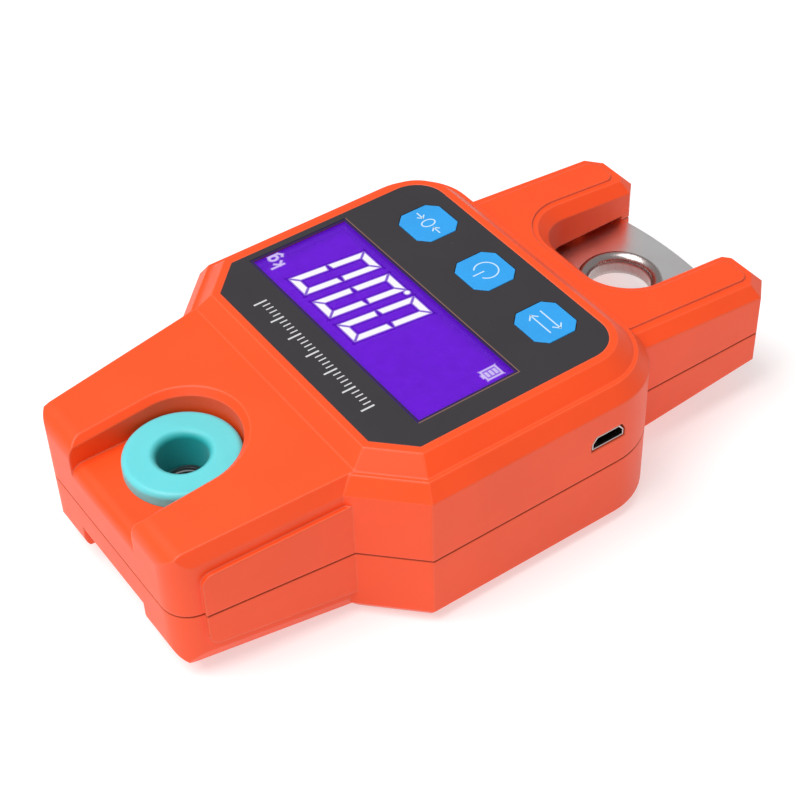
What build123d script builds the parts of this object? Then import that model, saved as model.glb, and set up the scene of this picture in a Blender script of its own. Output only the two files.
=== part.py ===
from build123d import *
import os
from math import atan, degrees, sqrt

# Mini crane scale: a two-part casing round a load cell, hung from the round eye at the +Y end
# and loaded through the flared eyelet at the -Y end. Millimetres, display facing +Z, display
# "up" along +Y, reading direction +X. Origin: middle of the bottom of the overall box.

# ---- driving dimensions ----
casing_length = 142.4      # arm end wall to prong tips
body_half_width = 41.0
seam_z = 17.5              # parting plane between the two covers
wall = 2.2                 # casing wall thickness
seam_chamfer = 0.25        # round the outside of both covers at the parting plane

end_y = casing_length / 2
tip_y = -casing_length / 2

# body block, in plan
body_top_y = 36.5
body_fork_y = -34.4
body_corner_cut = 11.6     # 45 degree corners at the arm end
body_fork_radius = 15.0    # round corners at the fork end

# heights above (front) and below (back) the parting plane
front_wall_height = 15.3
shoulder_rise = 3.3
shoulder_inset = 2.4
front_step_height = front_wall_height + shoulder_rise
platform_inset = 3.2       # foot of the display platform, in from the wall
platform_bevel = 3.3
face_height = front_step_height + 3.2
back_wall_height = 14.2
back_height = seam_z

# arm (top eye end)
arm_root_y = 30.0
arm_half_width_root = 29.4
arm_taper = 0.1035         # half width lost per mm towards the end
arm_slope = 0.085          # height lost per mm towards the end
arm_front_height = 18.5    # at the body
arm_back_height = 16.4
arm_edge_inset = 1.55
arm_edge_drop = 3.3
arm_end_radius = 4.2       # rounding of the end, in side view
arm_corner_radius = 6.0    # rounding of the end, in plan
pad_root_y = 30.5
pad_end_y = 65.8
pad_proud = 1.0            # raised panels on the arm's flanks
pad_edge_gap = 2.5         # below the arm's bevelled edge
pad_corner_radius = 2.5
pad_bevel = 0.5

# fork (hook end)
fork_half_width = 29.3
fork_gap_half = 14.1
fork_gap_root_y = -41.0
fork_gap_radius = 8.8
fork_slope = 0.09
fork_front_height = 14.9   # at the body
fork_back_height = 12.6
fork_bevel = 2.4
tip_outer_cut = 4.4
tip_inner_cut = 2.8
plateau_rise = 0.45        # raised band along the prongs
plateau_half_width = 25.2
plateau_gap_half = 17.7
plateau_tip_y = -67.1
plateau_corner_radius = 2.5
slot_half_width = fork_gap_half + tip_inner_cut

# top eye and its grommets
eye_y = 53.4
eye_radius = 4.6
grommet_radius = 11.6
grommet_hole_radius = 5.0
grommet_lip_radius = 1.5   # rounding into the hole
grommet_edge_radius = 1.2  # rounding of the rim
front_crown = 13.2         # top of each grommet, from the parting plane
back_crown = 12.2
recess_radius = 12.0
recess_bevel = 1.3
front_recess_floor = 10.0
back_recess_floor = 9.0
collar_radius = 9.0
mouth_radius = 2.8

# hook plate
plate_mid = -0.4           # middle of the plate, from the parting plane
plate_thickness = 3.4
plate_arc_radius = 88.0
plate_edge_y = -70.0
eyelet_y = -54.1
eyelet_hole_radius = 6.6
eyelet_neck_radius = 7.6
eyelet_crest_radius = 8.1
eyelet_outer_radius = 9.3

# display overlay, window and keys
overlay_inset = 8.2
overlay_thickness = 0.5
overlay_gap = 0.05
window_x = (-27.6, 31.2)
window_y = (-5.0, 18.4)
key_row_y = -17.8
key_pitch = 19.4
key_half_x = 5.35
key_half_y = 5.15
key_cut = 2.1
key_gap = 0.15
key_travel = 0.4

# load cell
cell_z = (-5.4, 4.6)       # faces, from the parting plane
cell_half_width = 22.0
cell_top_y = 34.0
cell_bottom_y = -16.0
clevis_end_y = -30.0
clevis_bolt_y = -23.0
clevis_bolt_x = 8.0
clevis_bolt_radius = 2.85

# bosses and screws
boss_radius = 3.2
foot_boss_radius = 4.2
board_boss_radius = 2.5
casing_screw_radius = 1.4
casing_screw_head = 2.4
casing_screw_seat = -6.0   # underside of the screw heads
casing_screw_length = 14.0
screw_clearance = 0.15
cell_screw_seat = -13.0
board_screw_radius = 1.1
board_screw_length = 5.8

# electronics
board_bottom = 9.6         # above the parting plane
board_thickness = 1.6
board_top = board_bottom + board_thickness
board_z = (board_bottom, board_top)
board_half_width = 29.2
usb_y = -16.6
usb_mid = 8.15
usb_half_width = 3.85
usb_half_height = 1.45
usb_cut = 1.0              # sideways reach of the shell's two cut corners
usb_mouth_x = -40.8

os.makedirs("parts", exist_ok=True)


def level(height):
    """XY plane at a height above the parting plane."""
    return Plane.XY.offset(seam_z + height)


def save(part, name):
    """Label a finished piece and write it as its own STEP file."""
    part.label = name
    export_step(part, f"parts/{name}.step")


def block(x, y, z):
    """Rectangular block from (min, max) pairs, z measured from the parting plane."""
    with BuildPart() as made:
        with BuildSketch(level(z[0])):
            with Locations(((x[0] + x[1]) / 2, (y[0] + y[1]) / 2)):
                Rectangle(x[1] - x[0], y[1] - y[0])
        extrude(amount=z[1] - z[0])
    return made.part


def posts(radius, places, z):
    """Upright round posts at the given places, between two heights."""
    with BuildPart() as made:
        with BuildSketch(level(z[0])):
            with Locations(*places):
                Circle(radius)
        extrude(amount=z[1] - z[0])
    return made.part


def body_outline(inset, height):
    """Outline of the body block: cut corners at the arm end, round ones at the fork end."""
    w = body_half_width - inset
    top = body_top_y - inset
    low = body_fork_y + inset
    cut = body_corner_cut - inset * (2 - sqrt(2))
    r = body_fork_radius - inset
    with BuildSketch(level(height)) as made:
        with BuildLine():
            Polyline((-w, low + r), (-w, top - cut), (-w + cut, top),
                     (w - cut, top), (w, top - cut), (w, low + r))
            TangentArc((w, low + r), (w - r, low), tangent=(0, -1))
            Line((w - r, low), (-w + r, low))
            TangentArc((-w + r, low), (-w, low + r), tangent=(-1, 0))
        make_face()
    return made.sketch


def body_block(t, wall_height, top_height):
    """Body walls and their sloping shoulder, set in by t all over."""
    with BuildPart() as made:
        add(body_outline(t, 0))
        extrude(amount=wall_height - 0.3 * t)
        loft([body_outline(t, wall_height - 0.3 * t),
              body_outline(shoulder_inset + t, top_height - t)], ruled=True)
    return made.part


def platform(t):
    """Raised display platform with its 45 degree bevel."""
    foot = platform_inset + t
    with BuildPart() as made:
        loft([body_outline(foot, front_step_height - t - 0.01),
              body_outline(foot + platform_bevel - 0.4 * t, face_height - t)], ruled=True)
    return made.part


def arm_section(y, t, height):
    """Cross-section of the arm: upright sides with bevelled upper edges."""
    w = arm_half_width_root - arm_taper * (y - body_top_y) - t
    h = height - arm_slope * (y - body_top_y) - t
    with BuildSketch(Plane.XZ.offset(-y)) as made:
        with BuildLine():
            Polyline((-w, seam_z), (w, seam_z),
                     (w, seam_z + h - arm_edge_drop), (w - arm_edge_inset, seam_z + h),
                     (-w + arm_edge_inset, seam_z + h), (-w, seam_z + h - arm_edge_drop), close=True)
        make_face()
    return made.sketch


def arm_outline(t):
    """Plan of the arm: tapering sides and rounded end corners."""
    last = end_y - t
    root_w = arm_half_width_root - arm_taper * (arm_root_y - body_top_y) - t
    last_w = arm_half_width_root - arm_taper * (last - body_top_y) - t
    with BuildSketch(level(0)) as made:
        with BuildLine():
            Polyline((-root_w, arm_root_y), (root_w, arm_root_y), (last_w, last), (-last_w, last), close=True)
        make_face()
        fillet(made.vertices().group_by(Axis.Y)[-1], arm_corner_radius - 0.6 * t)
    return made.sketch


def arm_profile(t, height):
    """Side view of the arm: sloping face with a rounded end."""
    last = end_y - t
    root_z = seam_z + height - arm_slope * (arm_root_y - body_top_y) - t
    last_z = seam_z + height - arm_slope * (last - body_top_y) - t
    with BuildSketch(Plane.YZ.offset(-body_half_width)) as made:
        with BuildLine():
            Polyline((arm_root_y, seam_z), (last, seam_z), (last, last_z), (arm_root_y, root_z), close=True)
        make_face()
        fillet(made.vertices().sort_by_distance((last, last_z))[0], arm_end_radius - t)
    return made.sketch


def arm_block(t, height):
    """Arm tapering and sloping towards its end, which is rounded in plan and in side view."""
    with BuildPart() as made:
        loft([arm_section(arm_root_y, t, height), arm_section(end_y - t, t, height)], ruled=True)
        add(arm_outline(t))
        extrude(amount=height + 5, mode=Mode.INTERSECT)
        extrude(arm_profile(t, height), amount=2 * body_half_width, dir=(1, 0, 0), mode=Mode.INTERSECT)
    return made.part


def fork_outline(t):
    """Plan of the fork: two prongs round a U gap, with cut corners at the tips."""
    w = fork_half_width - t
    g = fork_gap_half + t
    tip = tip_y + t
    co = tip_outer_cut - t * (2 - sqrt(2))
    ci = tip_inner_cut - t * (2 - sqrt(2))
    root = body_fork_y + 8
    gap_root = fork_gap_root_y + t
    r = fork_gap_radius + t
    with BuildSketch(level(0)) as made:
        with BuildLine():
            Polyline((-g, gap_root - r), (-g, tip + ci), (-g - ci, tip), (-w + co, tip), (-w, tip + co),
                     (-w, root), (w, root), (w, tip + co), (w - co, tip), (g + ci, tip), (g, tip + ci),
                     (g, gap_root - r))
            TangentArc((g, gap_root - r), (g - r, gap_root), tangent=(0, 1))
            Line((g - r, gap_root), (-g + r, gap_root))
            TangentArc((-g + r, gap_root), (-g, gap_root - r), tangent=(-1, 0))
        make_face()
    return made.sketch


def fork_plane(height):
    """Sloping plane of the prongs' upper faces."""
    tilt = degrees(atan(fork_slope))
    return Plane(origin=(0, body_fork_y, seam_z + height), z_dir=Vector(0, 0, 1).rotate(Axis.X, tilt))


def fork_block(t, height):
    """Fork walls cut off by the sloping plane, with every outer upper edge bevelled."""
    with BuildPart() as made:
        add(fork_outline(t))
        extrude(amount=height + 4)
        split(bisect_by=fork_plane(height - t), keep=Keep.BOTTOM)
        top = made.faces().sort_by(Axis.Z)[-1]
        edges = [e for e in top.edges() if e.center().Y < body_fork_y]
        chamfer(edges, fork_bevel - 0.3 * t)
    return made.part


def fork_plateau(height):
    """Shallow raised band along both prongs and round the U gap."""
    w, g = plateau_half_width, plateau_gap_half
    gap_root = fork_gap_root_y + g - fork_gap_half
    r = fork_gap_radius + g - fork_gap_half
    root = body_fork_y + 1
    with BuildPart() as made:
        with BuildSketch(level(0)) as outline:
            with BuildLine():
                Polyline((-g, gap_root - r), (-g, plateau_tip_y), (-w, plateau_tip_y), (-w, root),
                         (w, root), (w, plateau_tip_y), (g, plateau_tip_y), (g, gap_root - r))
                TangentArc((g, gap_root - r), (g - r, gap_root), tangent=(0, 1))
                Line((g - r, gap_root), (-g + r, gap_root))
                TangentArc((-g + r, gap_root), (-g, gap_root - r), tangent=(-1, 0))
            make_face()
            fillet(outline.vertices().group_by(Axis.Y)[0], plateau_corner_radius)
        extrude(amount=height + 4)
        split(bisect_by=fork_plane(height + plateau_rise), keep=Keep.BOTTOM)
    return made.part


def eye_recess(floor, height):
    """Open-ended U recess round the top eye, with a bevelled rim along the arm's sloping face."""
    tilt = degrees(atan(-arm_slope))
    rim = Plane(origin=(0, eye_y, seam_z + height - arm_slope * (eye_y - body_top_y)),
                x_dir=(1, 0, 0), z_dir=Vector(0, 0, 1).rotate(Axis.X, tilt))
    reach = end_y - eye_y + 6

    def u_shape(plane, radius):
        with BuildSketch(plane) as made:
            with BuildLine():
                Line((radius, reach), (radius, 0))
                TangentArc((radius, 0), (-radius, 0), tangent=(0, -1))
                Polyline((-radius, 0), (-radius, reach), (radius, reach))
            make_face()
        return made.sketch

    with BuildPart() as made:
        add(u_shape(Plane(origin=(0, eye_y, seam_z + floor)), recess_radius))
        extrude(amount=height)
        loft([u_shape(rim.offset(-recess_bevel), recess_radius),
              u_shape(rim.offset(recess_bevel), recess_radius + 2 * recess_bevel)], ruled=True)
    return made.part


# ---- screw and post places ----
def mirrored(x, y):
    """A place on each side of the middle plane."""
    return [(x, y), (-x, y)]


body_screws = mirrored(33.6, 24.1) + mirrored(33.0, -25.6)
arm_screws = mirrored(19.6, 60.5)
fork_screws = mirrored(21.7, -58.0)
casing_screw_places = body_screws + arm_screws + fork_screws
board_screws_top = mirrored(26.4, 29.0)
board_screws_low = mirrored(26.4, -28.2)
board_places = board_screws_top + board_screws_low
cell_screw_places = mirrored(16.0, 29.5)
clevis_bolt_places = mirrored(clevis_bolt_x, clevis_bolt_y)
key_places = {"tare": key_pitch, "power": 0.0, "unit": -key_pitch}


def side_pads(height):
    """Slightly raised panels on the flanks of the arm, with round corners at its end."""
    w = arm_half_width_root - arm_taper * (pad_root_y - body_top_y)
    flank = Plane(origin=(w, pad_root_y, seam_z), x_dir=(-arm_taper, 1, 0), z_dir=(1, arm_taper, 0))
    length = pad_end_y - pad_root_y
    root_h = height - arm_slope * (pad_root_y - body_top_y) - arm_edge_drop - pad_edge_gap
    end_h = root_h - arm_slope * length
    with BuildPart() as made:
        with BuildSketch(flank) as outline:
            with BuildLine():
                Polyline((0, 0), (length, 0), (length, end_h), (0, root_h), close=True)
            make_face()
            fillet(outline.vertices().sort_by_distance((length, end_h))[0], pad_corner_radius)
        extrude(amount=pad_proud)
        rim = made.faces().sort_by(Axis.X)[-1].edges()
        free = [e for e in rim if e.center().Z > seam_z + 0.1 and e.center().Y > pad_root_y + 0.1]
        chamfer(free, pad_bevel)
        extrude(outline.sketch, amount=-wall / 2)
        mirror(about=Plane.YZ)
    return made.part


def recess_well(floor, height):
    """Floor and upright wall left inside the arm round the eye recess."""
    outer = recess_radius + wall
    with BuildPart() as made:
        with BuildSketch(level(floor - wall)):
            with BuildLine():
                Line((outer, end_y - wall / 2), (outer, eye_y))
                TangentArc((outer, eye_y), (-outer, eye_y), tangent=(0, -1))
                Polyline((-outer, eye_y), (-outer, end_y - wall / 2), (outer, end_y - wall / 2))
            make_face()
        extrude(amount=height - floor)
        add(arm_block(wall / 2, height), mode=Mode.INTERSECT)
    return made.part


def half_casing(front):
    """One cover built upwards from the parting plane: outer form, hollow and open recess."""
    wall_h = front_wall_height if front else back_wall_height
    step_h = front_step_height if front else back_height
    arm_h = arm_front_height if front else arm_back_height
    fork_h = fork_front_height if front else fork_back_height
    floor = front_recess_floor if front else back_recess_floor
    with BuildPart() as made:
        add(body_block(0, wall_h, step_h))
        add(arm_block(0, arm_h))
        add(fork_block(0, fork_h))
        if front:
            add(platform(0))
            add(fork_plateau(fork_h))
        add(side_pads(arm_h))
        add(body_block(wall, wall_h, step_h), mode=Mode.SUBTRACT)
        add(arm_block(wall, arm_h), mode=Mode.SUBTRACT)
        add(fork_block(wall, fork_h), mode=Mode.SUBTRACT)
        if front:
            add(platform(wall), mode=Mode.SUBTRACT)
        add(recess_well(floor, arm_h))
        add(eye_recess(floor, arm_h), mode=Mode.SUBTRACT)
        mouth = made.edges().filter_by(Axis.X).sort_by_distance((0, end_y, seam_z + floor))[0]
        fillet(mouth, mouth_radius)
        with BuildSketch(level(0)):
            with Locations((0, eye_y)):
                Circle(collar_radius + 0.2)
        extrude(amount=floor + 1, mode=Mode.SUBTRACT)
        rim = made.faces().filter_by(lambda f: abs(f.center().Z - seam_z) < 0.01).sort_by(SortBy.AREA)[-1]
        chamfer(rim.outer_wire().edges(), seam_chamfer)
    return made.part


def key_outline(x, grow, height):
    """Octagonal key outline centred on the key row."""
    with BuildSketch(level(height)) as made:
        with Locations((x, key_row_y)):
            Rectangle(2 * (key_half_x + grow), 2 * (key_half_y + grow))
        chamfer(made.vertices(), key_cut + grow * (2 - sqrt(2)))
    return made.sketch


def usb_outline(x, grow):
    """Micro-USB profile, its two cut corners towards the display."""
    low = usb_mid - usb_half_height - grow
    high = usb_mid + usb_half_height + grow
    half = usb_half_width + grow
    with BuildSketch(Plane.YZ.offset(x)) as made:
        with BuildLine():
            Polyline((usb_y - half, seam_z + low), (usb_y + half, seam_z + low),
                     (usb_y + half, seam_z + usb_mid), (usb_y + half - usb_cut, seam_z + high),
                     (usb_y - half + usb_cut, seam_z + high), (usb_y - half, seam_z + usb_mid), close=True)
        make_face()
    return made.sketch


# ---- casing ----
slot_z = (-4.9, 4.1)
slot_root_y = fork_gap_root_y + wall + 1
with BuildPart() as plate_slot:
    add(block((-slot_half_width, slot_half_width), (tip_y - 1, slot_root_y), slot_z))
    add(block((-slot_half_width - 1.6, slot_half_width + 1.6), (tip_y + wall, slot_root_y), slot_z))

pilot_top = casing_screw_seat + casing_screw_length + 0.6
board_pilot_top = board_bottom + board_screw_length + 0.4
with BuildPart() as front_cover:
    add(half_casing(True))
    add(posts(boss_radius, body_screws, (0, 15.2)))
    add(posts(boss_radius, arm_screws, (0, 15.0)))
    add(posts(boss_radius, fork_screws, (0, 11.3)))
    add(posts(board_boss_radius, board_screws_top, (board_top, 19.9)))
    add(posts(board_boss_radius, board_screws_low, (board_top, 18.2)))
    add(posts(casing_screw_radius, casing_screw_places, (-1, pilot_top)), mode=Mode.SUBTRACT)
    add(posts(board_screw_radius, board_places, (board_top - 1, board_pilot_top)), mode=Mode.SUBTRACT)
    add(body_outline(overlay_inset - overlay_gap, face_height - overlay_thickness))
    extrude(amount=2, mode=Mode.SUBTRACT)
    add(block(window_x, window_y, (face_height - 4, face_height)), mode=Mode.SUBTRACT)
    for x in key_places.values():
        add(key_outline(x, key_gap, face_height - 4))
        extrude(amount=4, mode=Mode.SUBTRACT)
    extrude(usb_outline(-body_half_width - 1, 0.35), amount=wall + 3, dir=(1, 0, 0), mode=Mode.SUBTRACT)
    add(plate_slot.part, mode=Mode.SUBTRACT)
save(front_cover.part, "front_cover")

back_half = half_casing(False).mirror(Plane.XY.offset(seam_z))
with BuildPart() as back_cover:
    add(back_half)
    add(posts(boss_radius, casing_screw_places, (-4.5, 0)))
    add(posts(foot_boss_radius, body_screws, (-16.0, -4.0)))
    add(posts(foot_boss_radius, arm_screws, (-13.0, -4.0)))
    add(posts(foot_boss_radius, fork_screws, (-9.2, -4.0)))
    add(posts(boss_radius, cell_screw_places, (-16.0, cell_z[0])))
    below = -back_height - 0.5
    add(posts(casing_screw_radius + screw_clearance, casing_screw_places, (below, 1)), mode=Mode.SUBTRACT)
    add(posts(casing_screw_head + 0.3, casing_screw_places, (below, casing_screw_seat)), mode=Mode.SUBTRACT)
    add(posts(casing_screw_radius + screw_clearance, cell_screw_places, (below, 0)), mode=Mode.SUBTRACT)
    add(posts(casing_screw_head + 0.3, cell_screw_places, (below, cell_screw_seat)), mode=Mode.SUBTRACT)
    add(plate_slot.part, mode=Mode.SUBTRACT)
save(back_cover.part, "back_cover")


# ---- display overlay, window and keys ----
with BuildPart() as front_overlay:
    add(body_outline(overlay_inset, face_height - overlay_thickness))
    extrude(amount=overlay_thickness)
    add(block(window_x, window_y, (face_height - 1, face_height + 1)), mode=Mode.SUBTRACT)
    for x in key_places.values():
        add(key_outline(x, key_gap, face_height - 1))
        extrude(amount=2, mode=Mode.SUBTRACT)
save(front_overlay.part, "front_overlay")

window_mid = ((window_x[0] + window_x[1]) / 2, (window_y[0] + window_y[1]) / 2)
window_width = window_x[1] - window_x[0]
window_length = window_y[1] - window_y[0]
glass_top = face_height - 0.65
glass_bottom = glass_top - 2.2
backlight_bottom = glass_bottom - 3.0


def window_block(grow, z):
    """Block over the display window, grown all round."""
    return block((window_x[0] - grow, window_x[1] + grow), (window_y[0] - grow, window_y[1] + grow), z)


with BuildPart() as lcd_window:
    add(window_block(-0.08, (glass_top, face_height - 0.1)))
    fillet(lcd_window.edges().filter_by(Axis.Z), 0.4)
save(lcd_window.part, "lcd_window")

with BuildPart() as lcd_glass:
    add(window_block(-0.25, (glass_bottom, glass_top)))
save(lcd_glass.part, "lcd_glass")

with BuildPart() as lcd_backlight:
    add(window_block(0.7, (backlight_bottom, glass_bottom)))
    fillet(lcd_backlight.edges().filter_by(Axis.Z), 0.8)
save(lcd_backlight.part, "lcd_backlight")

with BuildPart() as lcd_holder:
    add(window_block(2.0, (board_top, glass_bottom - 0.6)))
    fillet(lcd_holder.edges().filter_by(Axis.Z), 1.0)
    add(window_block(0.8, (board_top, glass_bottom + 1)), mode=Mode.SUBTRACT)
    with BuildSketch(level(board_top + 1.4)):
        with Locations(window_mid):
            Rectangle(window_width + 2.0, 2.0)
            Rectangle(2.0, window_length + 2.0)
    extrude(amount=1.2)
save(lcd_holder.part, "lcd_holder")

pin_count = 18
pin_pitch = 2.54
with BuildPart() as lcd_pins:
    with BuildSketch(level(board_top)):
        with Locations((window_mid[0], window_y[1] - 1.6)):
            with GridLocations(pin_pitch, 1, pin_count, 1):
                Rectangle(0.5, 0.3)
    extrude(amount=backlight_bottom - board_top)
save(lcd_pins.part, "lcd_pins")

key_proud = 0.05
flange_width = 0.9
flange_thickness = 0.8
flange_top = face_height - wall - key_gap
stem_radius = 1.9
plunger_radius = 1.7
plunger_top = 16.3
plunger_bottom = 14.4
for name, x in key_places.items():
    with BuildPart() as key:
        add(key_outline(x, 0, flange_top))
        extrude(amount=face_height + key_proud - flange_top)
        fillet(key.edges().group_by(Axis.Z)[-1], 0.15)
        add(key_outline(x, flange_width, flange_top - flange_thickness))
        extrude(amount=flange_thickness)
        add(posts(stem_radius, [(x, key_row_y)], (plunger_top, flange_top - flange_thickness)))
    save(key.part, f"{name}_key")
    save(posts(plunger_radius, [(x, key_row_y)], (plunger_bottom, plunger_top)), f"{name}_plunger")

switch_body_height = 1.9
switch_top = plunger_bottom - key_travel - 0.1
switch_places = [(x, key_row_y) for x in key_places.values()]
with BuildPart() as switch_bodies:
    with BuildSketch(level(board_top)):
        with Locations(*switch_places):
            RectangleRounded(6.0, 6.0, 0.5)
    extrude(amount=switch_body_height)
    add(posts(plunger_radius, switch_places, (board_top + switch_body_height, switch_top)))
save(switch_bodies.part, "switch_bodies")

# ---- main board and what stands on it ----
with BuildPart() as main_board:
    add(block((-board_half_width, board_half_width), (-31.0, 33.0), board_z))
    add(block((board_half_width - 1, 34.4), (-9.0, 17.0), board_z))
    add(block((-31.2, 1 - board_half_width), (-9.0, 17.0), board_z))
    add(block((-38.3, 1 - board_half_width), (usb_y - 5.6, usb_y + 5.6), board_z))
    corners = main_board.edges().filter_by(Axis.Z).group_by(Axis.Y)
    fillet(corners[0] + corners[-1], 2.0)
    add(posts(board_screw_radius + 0.2, board_places, (board_bottom - 1, board_top + 1)), mode=Mode.SUBTRACT)
save(main_board.part, "main_board")

usb_shell_thickness = 0.28
usb_root_x = usb_mouth_x + 4.6
with BuildPart() as usb_shell:
    extrude(usb_outline(usb_mouth_x, 0), amount=5.5, dir=(1, 0, 0))
    extrude(usb_outline(usb_mouth_x - 0.1, -usb_shell_thickness), amount=6, dir=(1, 0, 0), mode=Mode.SUBTRACT)
save(usb_shell.part, "usb_shell")

with BuildPart() as usb_tongue:
    extrude(usb_outline(usb_root_x, -usb_shell_thickness - 0.02), amount=0.85, dir=(1, 0, 0))
    add(block((usb_mouth_x + 0.8, usb_root_x), (usb_y - 2.6, usb_y + 2.6), (usb_mid + 0.15, usb_mid + 0.75)))
save(usb_tongue.part, "usb_tongue")


def chips(name, places, size, height):
    """Flat packages soldered under the board."""
    with BuildPart() as made:
        with BuildSketch(level(board_bottom)):
            with Locations(*places):
                Rectangle(*size)
        extrude(amount=-height)
        chamfer(made.edges().group_by(Axis.Z)[0], min(height, *size) * 0.15)
    save(made.part, name)


capacitor_places = [(-9.0, 2.0), (-9.0, 8.0), (14.0, 0.0), (-19.0, -24.0), (20.0, -6.0), (-24.0, -12.0)]
chips("controller_chip", [(4.0, 6.0)], (10.0, 10.0), 1.5)
chips("adc_chip", [(-14.0, -4.0)], (5.0, 6.2), 1.5)
chips("charger_chip", [(-25.0, -20.0)], (3.0, 3.0), 1.1)
chips("capacitors", capacitor_places, (2.0, 1.25), 0.9)
chips("crystal", [(-4.5, 12.5)], (3.2, 2.5), 0.8)

buzzer_place = [(0, 26.8)]
buzzer_top = board_top + 4.5
with BuildPart() as buzzer:
    add(posts(4.8, buzzer_place, (board_top, buzzer_top)))
    fillet(buzzer.edges().group_by(Axis.Z)[-1], 0.4)
    add(posts(1.0, buzzer_place, (buzzer_top - 1.0, buzzer_top + 1)), mode=Mode.SUBTRACT)
save(buzzer.part, "buzzer")

# ---- battery ----
battery_x = (-19.0, 19.0)
battery_y = (-14.0, 22.5)
battery_z = (-13.6, -7.6)
with BuildPart() as battery:
    add(block(battery_x, battery_y, battery_z))
    fillet(battery.edges().filter_by(Axis.Y), 1.8)
save(battery.part, "battery")

with BuildPart() as battery_pad:
    add(block((-15.0, 15.0), (-10.0, 18.5), (wall - back_height, battery_z[0])))
save(battery_pad.part, "battery_pad")

socket_low = 5.8
with BuildPart() as battery_socket:
    add(block((21.6, 27.6), (7.0, 12.0), (socket_low, board_bottom)))
    chamfer(battery_socket.edges().filter_by(Axis.Z), 0.5)
save(battery_socket.part, "battery_socket")

def wires(name, routes, radius, bend):
    """Insulated leads along straight runs with round bends; route heights are above the parting plane."""
    with BuildPart() as made:
        for points in routes:
            with BuildLine() as path:
                FilletPolyline(*[(x, y, seam_z + z) for x, y, z in points], radius=bend)
            with BuildSketch(Plane(origin=path.line @ 0, z_dir=path.line % 0)):
                Circle(radius)
            sweep(path=path.line)
    save(made.part, name)


lead_radius = 0.6
lead_bend = 3.0
lead_x = 25.8
lead_z = (battery_z[0] + battery_z[1]) / 2
for name, y in {"battery_lead_red": 10.4, "battery_lead_black": 8.5}.items():
    route = [(battery_x[1], y, lead_z), (lead_x, y, lead_z), (lead_x, y, socket_low)]
    wires(name, [route], lead_radius, lead_bend)

# ---- load cell ----
slot_width = 2.4
slot_length = cell_half_width + 12
slot_x = cell_half_width / 2 - 6
upper_slot_y = 23.2
lower_slot_y = -5.2
flexure_y = 9.0            # middle of the two round cut-outs that thin the beams
flexure_x = 7.0
flexure_radius = 6.2
clevis_width = 28.0
neck_width = 18.0
eye_boss_radius = 12.8
bush_radius = 6.5
with BuildPart() as load_cell:
    with BuildSketch(level(cell_z[0])):
        with Locations((0, (cell_top_y + cell_bottom_y) / 2)):
            Rectangle(2 * cell_half_width, cell_top_y - cell_bottom_y)
        with Locations((0, (cell_bottom_y + clevis_end_y) / 2)):
            Rectangle(clevis_width, cell_bottom_y - clevis_end_y)
        with Locations((0, (cell_top_y + eye_y) / 2)):
            Rectangle(neck_width, eye_y - cell_top_y)
        with Locations((0, eye_y)):
            Circle(eye_boss_radius)
            Circle(bush_radius, mode=Mode.SUBTRACT)
        with Locations((slot_x, upper_slot_y), (-slot_x, lower_slot_y)):
            Rectangle(slot_length, slot_width, mode=Mode.SUBTRACT)
        with Locations((-flexure_x, flexure_y), (flexure_x, flexure_y)):
            Circle(flexure_radius, mode=Mode.SUBTRACT)
        with Locations((0, flexure_y)):
            Rectangle(12.0, 4.0, mode=Mode.SUBTRACT)
    extrude(amount=cell_z[1] - cell_z[0])
    half_slot = plate_thickness / 2 + 0.05
    add(block((-15, 15), (clevis_end_y - 1, -17.0), (plate_mid - half_slot, plate_mid + half_slot)),
        mode=Mode.SUBTRACT)
    add(posts(clevis_bolt_radius + 0.15, clevis_bolt_places, (-8, 8)), mode=Mode.SUBTRACT)
    add(posts(casing_screw_radius, cell_screw_places, (-8, 3.0)), mode=Mode.SUBTRACT)
save(load_cell.part, "load_cell")

with BuildPart() as eye_bush:
    with BuildSketch(level(cell_z[0])):
        with Locations((0, eye_y)):
            Circle(bush_radius)
            Circle(eye_radius, mode=Mode.SUBTRACT)
    extrude(amount=cell_z[1] - cell_z[0])
    bore_edges = eye_bush.edges().filter_by(GeomType.CIRCLE).filter_by(lambda e: e.radius < bush_radius - 0.1)
    chamfer(bore_edges, 0.4)
save(eye_bush.part, "eye_bush")

with BuildPart() as strain_gauges:
    with BuildSketch(level(cell_z[1])):
        with Locations((0, flexure_y)):
            with GridLocations(2 * flexure_x, 16.8, 2, 2):
                Rectangle(6.0, 3.2)
    extrude(amount=0.12)
save(strain_gauges.part, "strain_gauges")

terminal_top = cell_z[1] + 0.8
with BuildPart() as gauge_terminals:
    add(block((-20.5, -15.5), (3.5, 14.5), (cell_z[1], terminal_top)))
save(gauge_terminals.part, "gauge_terminals")

cell_wire_radius = 0.4
cell_wire_bend = 1.0
cell_wire_routes = []
for i in range(4):
    terminal_y = 5.4 + 2.4 * i
    board_y = 4.2 + 2.0 * i
    middle = (terminal_top + board_bottom) / 2
    cell_wire_routes.append([(-18.0, terminal_y, terminal_top), (-18.0, terminal_y, middle),
                             (-22.0, board_y, middle), (-22.0, board_y, board_bottom)])
wires("cell_wires", cell_wire_routes, cell_wire_radius, cell_wire_bend)

# ---- hook plate ----
plate_low = plate_mid - plate_thickness / 2
plate_high = plate_mid + plate_thickness / 2
plate_half_width = 24.0
tongue_half_width = 13.0
tongue_end_y = -17.4
shoulder_y = -46.5
plate_cut = (plate_low - 1, plate_high + 1)
arc_centre_y = plate_edge_y + plate_arc_radius
arc_side_y = arc_centre_y - sqrt(plate_arc_radius ** 2 - plate_half_width ** 2)

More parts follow.
